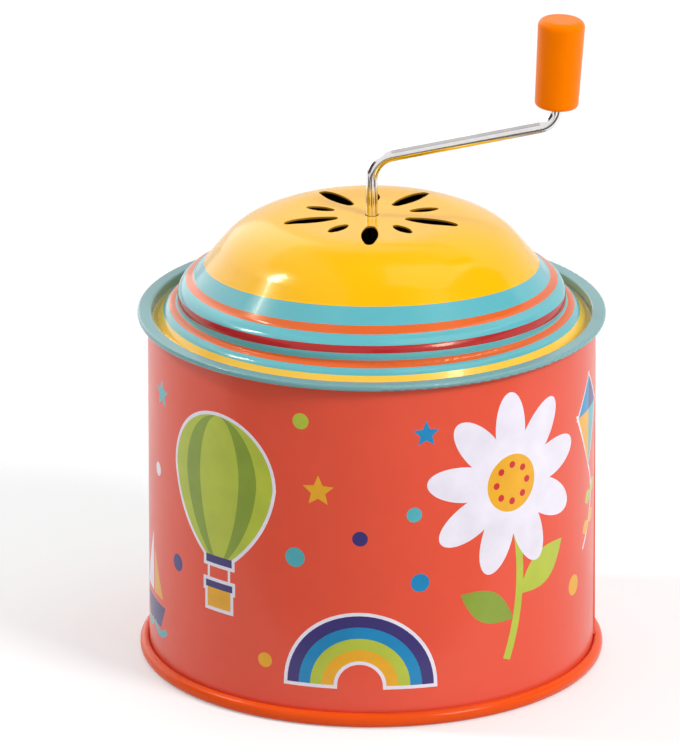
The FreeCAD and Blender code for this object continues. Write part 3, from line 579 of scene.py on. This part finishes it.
def kite(u, v):
    """A kite of four colours with bows on its tail."""
    half_width, half_height, arm = 5.4, 8, v + 2
    top, low, heart = (u, v + half_height), (u, v - half_height), (u, arm)
    left, right = (u - half_width, arm), (u + half_width, arm)
    shapes = [
        ("blue", [top, left, heart]),
        ("indigo", [top, heart, right]),
        ("sun", [left, low, heart]),
        ("turquoise", [heart, low, right]),
        ("paper", stroke(bent_line(low, (u + 5, v - 14), (u - 3, v - 22)), THREAD)),
    ]
    for ink, height, shift in (("lime", 13, 1.4), ("sun", 18, 0.2)):
        for side in (0, 180):
            shapes.append((ink, leaf(u + shift, v - height, 3.4, 2.4, side + 20)))
    return bordered(shapes[:4]) + shapes[4:]


def boat(u, v):
    """A sailing boat on two waves."""
    shapes = [
        ("indigo", [(u - 6, v + 3), (u - 4, v - 1), (u + 4, v - 1), (u + 6, v + 3)]),
        ("paper", [(u - 0.4, v + 4.2), (u - 0.4, v + 15), (u - 6, v + 4.2)]),
        ("sun", [(u + 0.4, v + 4.2), (u + 5, v + 4.2), (u + 0.4, v + 12)]),
    ]
    for shift in (-3.4, 3.4):
        wave = bent_line((u + shift - 3, v - 1), (u + shift, v - 3.4), (u + shift + 3, v - 1))
        shapes.append(("turquoise", stroke(wave, 1.2)))
    return shapes


# Small accents scattered between the motifs: ink, place along the wall, height and radius
STARS = (("turquoise", -45.0, 50.0, 2.6), ("sun", -9.0, 41.0, 2.8), ("blue", 9.0, 51.0, 2.4))
DOTS = (
    ("indigo", -39.0, 22.0, 1.5), ("turquoise", -13.0, 29.0, 1.7), ("blue", 8.0, 25.0, 1.6),
    ("lime", -12.0, 53.0, 1.4), ("sun", 42.0, 17.0, 1.8), ("paper", -47.0, 36.0, 1.2),
    ("turquoise", 7.0, 37.0, 1.3), ("sun", -18.5, 10.0, 1.3), ("indigo", -2.0, 33.0, 1.3),
)

# Each motif's place along the wall, and its height
MOTIFS = ((boat, -50, 9), (balloon, -28, 40), (rainbow, -2, 7), (daisy, 25, 40), (kite, 49, 44))


def wall_print():
    """Every shape of the print, from the lowest layer to the highest, once at the front and once behind."""
    shapes = []
    for start in (0.0, -math.pi * CAN_RADIUS):
        for motif, u, v in MOTIFS:
            shapes += motif(start + u, v)
        shapes += [(ink, star(start + u, v, radius)) for ink, u, v, radius in STARS]
        shapes += [(ink, oval(start + u, v, radius, radius)) for ink, u, v, radius in DOTS]
    return shapes


# The flat sheet ends in the middle of the lock seam, at the right of the front
SHEET_RIGHT = math.pi / 2 * CAN_RADIUS
SHEET_LEFT = SHEET_RIGHT - 2 * math.pi * CAN_RADIUS

# Distances from the seam's middle: flat top, upper edge, lower edge, plain wall
SEAM_EDGES = (1.2, 1.5, 1.7, 2.0)
SEAM_TILT = math.radians(45)
SEAM_END = 0.1

# The sheet is cut up inside its outline only, and points nearer than this are joined
INSIDE_ONLY = 1
CUT_TOLERANCE = 0.0001

# How dull the wall's lacquer is, and how strongly its plain ground and its motifs are mottled
WALL_ROUGHNESS = 0.3
GROUND_MOTTLE = 0.03
MOTIF_MOTTLE = 0.12


def seam_shape(u, v):
    """How far the lock seam stands out at a place, and how far its skin leans round the can."""
    left_part = u - SHEET_LEFT
    right_part = SHEET_RIGHT - u
    away = min(left_part, right_part)
    flat_top, upper, lower, plain = SEAM_EDGES
    if away > plain or not SEAM_FOOT <= v <= SEAM_HEAD:
        return 0.0, 0.0
    proud = SEAM_PROUD if away < (upper + lower) / 2 else 0.0
    leans = (flat_top + upper) / 2 < away < (lower + plain) / 2
    side = 1 if left_part < right_part else -1
    return proud, side * SEAM_TILT if leans else 0.0


class Skin:
    """Vertices, faces, exact normals and material numbers of one mesh."""

    def __init__(self):
        self.points, self.normals, self.faces, self.marks = [], [], [], []

    def put(self, radius, turn, height, out, up, lean=0.0):
        """Add a point on a circle about z, with its normal's outward and upward parts."""
        self.points.append((radius * math.cos(turn) * MM, radius * math.sin(turn) * MM, height * MM))
        self.normals.append((out * math.cos(turn + lean), out * math.sin(turn + lean), up))
        return len(self.points) - 1

    def spin(self, profile, mark):
        """Turn a run of (radius, height, out, up) about z."""
        rings = []
        for radius, height, out, up in profile:
            turns = [2 * math.pi * step / RING_STEPS for step in range(RING_STEPS)]
            rings.append([self.put(radius, turn, height, out, up) for turn in turns])
        for first, second in zip(rings, rings[1:]):
            for step in range(RING_STEPS):
                ahead = (step + 1) % RING_STEPS
                self.faces.append((first[step], first[ahead], second[ahead], second[step]))
                self.marks.append(mark)

    def build(self, name, materials):
        """The mesh as an object in the scene."""
        mesh = bpy.data.meshes.new(name)
        mesh.from_pydata(self.points, [], self.faces)
        for material in materials:
            mesh.materials.append(material)
        mesh.polygons.foreach_set("material_index", self.marks)
        mesh.polygons.foreach_set("use_smooth", [True] * len(self.faces))
        mesh.normals_split_custom_set_from_vertices(self.normals)
        piece = bpy.data.objects.new(name, mesh)
        bpy.context.scene.collection.objects.link(piece)
        return piece


def rounded(corners, bend_steps=8):
    """Points and directions along a run of square corners, each rounded by its own radius."""
    path = []
    for index, (x, y, radius) in enumerate(corners):
        here = Vector((x, y))
        before = Vector(corners[max(index - 1, 0)][:2])
        after = Vector(corners[min(index + 1, len(corners) - 1)][:2])
        if not radius:
            path.append((here, (after - before).normalized()))
            continue
        arrive = (here - before).normalized()
        leave = (after - here).normalized()
        centre = here + (leave - arrive) * radius
        for step in range(bend_steps + 1):
            angle = math.pi / 2 * step / bend_steps
            spoke = arrive * math.sin(angle) - leave * math.cos(angle)
            heading = arrive * math.cos(angle) + leave * math.sin(angle)
            path.append((centre + spoke * radius, heading))
    return path


def fold_profiles():
    """The can's bare skins: the inner one whole, and the outer one at the flange and at the hook."""
    path = rounded([
        (FLANGE_RADIUS, FLANGE_TOP, 0),
        (CAN_RADIUS - TIN, FLANGE_TOP, FOLD),
        (CAN_RADIUS - TIN, WALL_BASE, FOLD),
        (HOOK_RADIUS, WALL_BASE, HOOK_ROLL),
        (HOOK_RADIUS, HOOK_TOP, 0),
    ])
    inner, outer = [], []
    for place, heading in path:
        left = Vector((-heading.y, heading.x))
        inner.append((*place, *-left))
        outer.append((*(place + left * TIN), *left))
    at_head = [row for row in outer if row[1] > FLANGE_TOP / 2]
    at_foot = [row for row in outer if row[1] < FLANGE_TOP / 2]
    flange_edge = [(*outer[0][:2], 1, 0), (*inner[0][:2], 1, 0)]
    hook_edge = [(*inner[-1][:2], 0, 1), (*outer[-1][:2], 0, 1)]
    return [inner[::-1], at_head, at_foot, flange_edge, hook_edge]


def make_wall():
    """The can's wall as one sheet, its outer skin cut into regions of one ink each."""
    shapes = wall_print()
    points = [Vector(point) for point in box(SHEET_LEFT, SHEET_RIGHT, WALL_FOOT, WALL_HEAD)]
    faces = [[0, 1, 2, 3]]
    for ink, outline in shapes:
        faces.append(list(range(len(points), len(points) + len(outline))))
        points += [Vector(point) for point in outline]
    lines = [SHEET_LEFT + (SHEET_RIGHT - SHEET_LEFT) * step / RING_STEPS for step in range(1, RING_STEPS)]
    lines += [SHEET_LEFT + edge for edge in SEAM_EDGES] + [SHEET_RIGHT - edge for edge in SEAM_EDGES]
    runs = [((line, WALL_FOOT), (line, WALL_HEAD)) for line in lines]
    for height in (SEAM_FOOT - SEAM_END, SEAM_FOOT, SEAM_HEAD, SEAM_HEAD + SEAM_END):
        runs.append(((SHEET_LEFT, height), (SHEET_LEFT + SEAM_EDGES[-1], height)))
        runs.append(((SHEET_RIGHT - SEAM_EDGES[-1], height), (SHEET_RIGHT, height)))
    edges = []
    for start, stop in runs:
        edges.append((len(points), len(points) + 1))
        points += [Vector(start), Vector(stop)]
    cut = delaunay_2d_cdt(points, edges, faces, INSIDE_ONLY, CUT_TOLERANCE)
    places, _, triangles, _, _, origins = cut
    skin = Skin()
    for u, v in places:
        proud, lean = seam_shape(u, v)
        skin.put(CAN_RADIUS + proud, u / CAN_RADIUS - math.pi / 2, v, 1, 0, lean)
    names = list(INKS)
    inks = ["red"] + [ink for ink, outline in shapes]
    for triangle, layers in zip(triangles, origins):
        skin.faces.append(tuple(triangle))
        skin.marks.append(names.index(inks[max(layers)]))
    for profile in fold_profiles():
        skin.spin(profile, len(names))
    materials = []
    for ink, shade in INKS.items():
        mottle = GROUND_MOTTLE if ink == "red" else MOTIF_MOTTLE
        materials.append(lacquer(f"ink_{ink}", shade, WALL_ROUGHNESS, mottle))
    materials.append(metal("rolled_tin", BARE_TIN, roughness=0.35, grain=0.6, stretch=(1, 1, 0.1)))
    piece = skin.build("printed_wall", materials)
    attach(piece, "case")
    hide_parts("can_wall")


# Camera: its height above the level, distance in metres, lens in millimetres and the point it looks at
CAMERA_RISE = math.radians(19.5)
CAMERA_DISTANCE = 1.8
CAMERA_LENS = 513
CAMERA_TARGET = Vector((-5.3, 0, 48.2)) * MM
SENSOR_WIDTH = 36

# Room: its light, and how bright its ceiling and its floor look
ROOM_LIGHT = 0.48
CEILING = 0.2
FLOOR_LIFT = 0.315
FLOOR_REACH = 4.0

# Where the ceiling begins and grows dim, by the upward and sideways parts of a direction
WALL_TOP = 0.7
CEILING_EDGE = 0.84
WINDOW_EDGE = -0.3
WINDOW_FADE = 0.15

# Cards that lie on the floor are this high above it, in metres
CARD_LIFT = 0.001


def make_camera():
    """The camera at the photograph's viewing angle."""
    data = bpy.data.cameras.new("camera")
    data.lens = CAMERA_LENS
    data.sensor_width = SENSOR_WIDTH
    camera = bpy.data.objects.new("camera", data)
    bpy.context.scene.collection.objects.link(camera)
    away = Vector((0, -math.cos(CAMERA_RISE), math.sin(CAMERA_RISE)))
    camera.location = CAMERA_TARGET + away * CAMERA_DISTANCE
    camera.rotation_euler = away.to_track_quat("Z", "Y").to_euler()
    bpy.context.scene.camera = camera


def make_lamp(name, heading, distance, width, height, power, only_shines=False):
    """A soft box, looking at the object from a heading; one that only shines lights no matt surface."""
    data = bpy.data.lights.new(name, "AREA")
    data.shape = "RECTANGLE"
    data.size = width
    data.size_y = height
    data.energy = power
    lamp = bpy.data.objects.new(name, data)
    bpy.context.scene.collection.objects.link(lamp)
    aim = Vector((0, 0, cad_high[2] / 2))
    heading = Vector(heading).normalized()
    lamp.location = aim + heading * distance
    lamp.rotation_euler = heading.to_track_quat("Z", "Y").to_euler()
    lamp.visible_camera = False
    lamp.visible_diffuse = not only_shines


def make_lights():
    """A narrow soft box at the left, a key light, a light from above and a panel at the back."""
    make_lamp("left_box", heading=(-0.7, 0.09, 0.7), distance=0.9, width=0.08, height=0.2, power=2.6)
    make_lamp("key", heading=(0.62, -0.52, 0.58), distance=1.4, width=0.4, height=0.4, power=12.0)
    make_lamp("overhead", heading=(0.4, 0.05, 0.9), distance=1.5, width=1.0, height=1.0, power=4.4)
    make_lamp("back_panel", heading=(-0.6, 0.7, 0.4), distance=1.6, width=1.6, height=1.3, power=8.0,
              only_shines=True)


def make_card(name, centre, first_side, second_side):
    """A dark card beside the object, which shows only in reflections."""
    centre, first, second = Vector(centre), Vector(first_side) / 2, Vector(second_side) / 2
    corners = [centre - first - second, centre + first - second]
    corners += [centre + first + second, centre - first + second]
    mesh = bpy.data.meshes.new(name)
    mesh.from_pydata(corners, [], [(0, 1, 2, 3)])
    card = bpy.data.objects.new(name, mesh)
    bpy.context.scene.collection.objects.link(card)
    graph = Graph(name)
    graph.set(Base_Color=varied(graph, CARD_BROWN, grain=80.0, depth=0.2), Roughness=0.9)
    mesh.materials.append(graph.material)
    card.visible_camera = False
    card.visible_diffuse = False
    card.visible_shadow = False


def make_cards():
    """Dark cards for the streaks on the bright wire and the depth of the lid's colours."""
    make_card("front_card", (0.3, -2.3, 1.15), first_side=(0.7, 0, 0), second_side=(0, 0, 1.3))
    make_card("floor_card", (0.0, -0.13, CARD_LIFT), first_side=(1.2, 0, 0), second_side=(0, 0.14, 0))
    make_card("crank_card", (-0.11, -0.31, CARD_LIFT), first_side=(0.28, 0, 0), second_side=(0, 0.18, 0))
    make_card("left_card", (-0.9, -0.27, 0.28), first_side=(0, 1.05, 0), second_side=(0, 0, 0.56))
    make_card("right_card", (0.9, -0.1, 0.75), first_side=(0, 1.2, 0), second_side=(0, 0, 0.8))


def seen_directly(tree):
    """1 for a ray from the camera, or from a mirror or glass, and 0 for scattered light."""
    path = tree.nodes.new("ShaderNodeLightPath")
    total = path.outputs["Is Camera Ray"]
    for kind in ("Is Glossy Ray", "Is Transmission Ray"):
        add = tree.nodes.new("ShaderNodeMath")
        add.operation = "ADD"
        add.use_clamp = True
        tree.links.new(total, add.inputs[0])
        tree.links.new(path.outputs[kind], add.inputs[1])
        total = add.outputs[0]
    return total


def ease(tree, value, start, stop, low, high):
    """A value that goes smoothly from low to high between start and stop."""
    node = tree.nodes.new("ShaderNodeMapRange")
    node.interpolation_type = "SMOOTHSTEP"
    tree.links.new(value, node.inputs["Value"])
    for name, bound in (("From Min", start), ("From Max", stop), ("To Min", low), ("To Max", high)):
        node.inputs[name].default_value = bound
    return node.outputs["Result"]


def make_world():
    """A white room whose ceiling is dim except at the left; it sheds a softer light than it shows."""
    world = bpy.data.worlds.new("studio")
    world.use_nodes = True
    bpy.context.scene.world = world
    tree = world.node_tree
    room = tree.nodes["Background"]
    room.inputs["Color"].default_value = (1, 1, 1, 1)
    room.inputs["Strength"].default_value = ROOM_LIGHT
    direction = tree.nodes.new("ShaderNodeTexCoord")
    split = tree.nodes.new("ShaderNodeSeparateXYZ")
    tree.links.new(direction.outputs["Generated"], split.inputs[0])
    overhead = ease(tree, split.outputs["Z"], WALL_TOP, CEILING_EDGE, 0.0, 1.0)
    dim = ease(tree, split.outputs["X"], WINDOW_EDGE, WINDOW_EDGE + WINDOW_FADE, 0.0, CEILING - 1.0)
    shade = tree.nodes.new("ShaderNodeMath")
    shade.operation = "MULTIPLY_ADD"
    tree.links.new(overhead, shade.inputs[0])
    tree.links.new(dim, shade.inputs[1])
    shade.inputs[2].default_value = 1.0
    white = tree.nodes.new("ShaderNodeBackground")
    tree.links.new(shade.outputs[0], white.inputs["Color"])
    choose = tree.nodes.new("ShaderNodeMixShader")
    tree.links.new(seen_directly(tree), choose.inputs[0])
    tree.links.new(room.outputs[0], choose.inputs[1])
    tree.links.new(white.outputs[0], choose.inputs[2])
    tree.links.new(choose.outputs[0], tree.nodes["World Output"].inputs["Surface"])


def make_floor():
    """A wide white floor that keeps the object's shadow."""
    mesh = bpy.data.meshes.new("floor")
    corners = [(x, y, 0) for x, y in box(-FLOOR_REACH, FLOOR_REACH, -FLOOR_REACH, FLOOR_REACH)]
    mesh.from_pydata(corners, [], [(0, 1, 2, 3)])
    floor = bpy.data.objects.new("floor", mesh)
    bpy.context.scene.collection.objects.link(floor)
    graph = Graph("pale_floor")
    graph.set(Base_Color=varied(graph, FLOOR_GREY, grain=300.0, depth=0.01), Roughness=0.6)
    lift = graph.add("ShaderNodeEmission")
    graph.feed(lift.inputs["Strength"], graph.math("MULTIPLY", seen_directly(graph.tree), FLOOR_LIFT))
    total = graph.add("ShaderNodeAddShader")
    graph.feed(total.inputs[0], graph.shader.outputs[0])
    graph.feed(total.inputs[1], lift.outputs[0])
    graph.feed(graph.tree.nodes["Material Output"].inputs["Surface"], total.outputs[0])
    mesh.materials.append(graph.material)


def dress_shell():
    """Lid, base, crank and knob: the pieces that show."""
    inner_tin = metal("inner_tin", BARE_TIN, roughness=0.4, grain=0.6)
    cut_lacquer = lacquer("cut_lacquer", CUT_YELLOW, roughness=0.4, mottle=0.1)
    dress("lid", striped_lacquer(), inner_tin, cut_lacquer)
    part_lid_faces()
    dress("base_plate", lacquer("foot_lacquer", FOOT_ORANGE, roughness=0.24, mottle=0.04, shine=0.12))
    dress("crank", metal("bright_wire", BRIGHT_WIRE, roughness=0.13, grain=0.8))
    dress("crank_knob", moulded("knob_plastic", KNOB_ORANGE, roughness=0.36, glow=0.12))


def dress_movement():
    """The musical movement, which shows through the sound holes and when the can is taken apart."""
    brass = metal("turned_brass", BRASS, roughness=0.28, grain=0.5)
    steel = metal("machined_steel", STEEL, roughness=0.3, grain=0.4)
    nylon = moulded("pale_nylon", PALE_NYLON, roughness=0.45, glow=0.2)
    dress("bedplate", metal("cast_zinc", ZINC, roughness=0.5, grain=1.2, depth=0.02))
    dress("comb", metal("ground_steel", GROUND_STEEL, roughness=0.26, grain=0.5, stretch=(1, 0.05, 1)))
    dress("bass_weights", metal("soft_lead", LEAD, roughness=0.55, grain=0.6, depth=0.01))
    for node in ("drum", "worm"):
        dress(node, brass)
    for node in ("drum_gear", "drum_end_cap"):
        dress(node, nylon)
    for node in ("movement_screws", "comb_screws", "strap_screws", "drum_pins", "drum_arbor",
                 "arbor_clips", "thrust_washer", "worm_strap"):
        dress(node, steel)


make_wall()
dress_shell()
dress_movement()
make_floor()
make_world()
make_lights()
make_cards()
make_camera()

bpy.context.scene.view_settings.view_transform = "Standard"
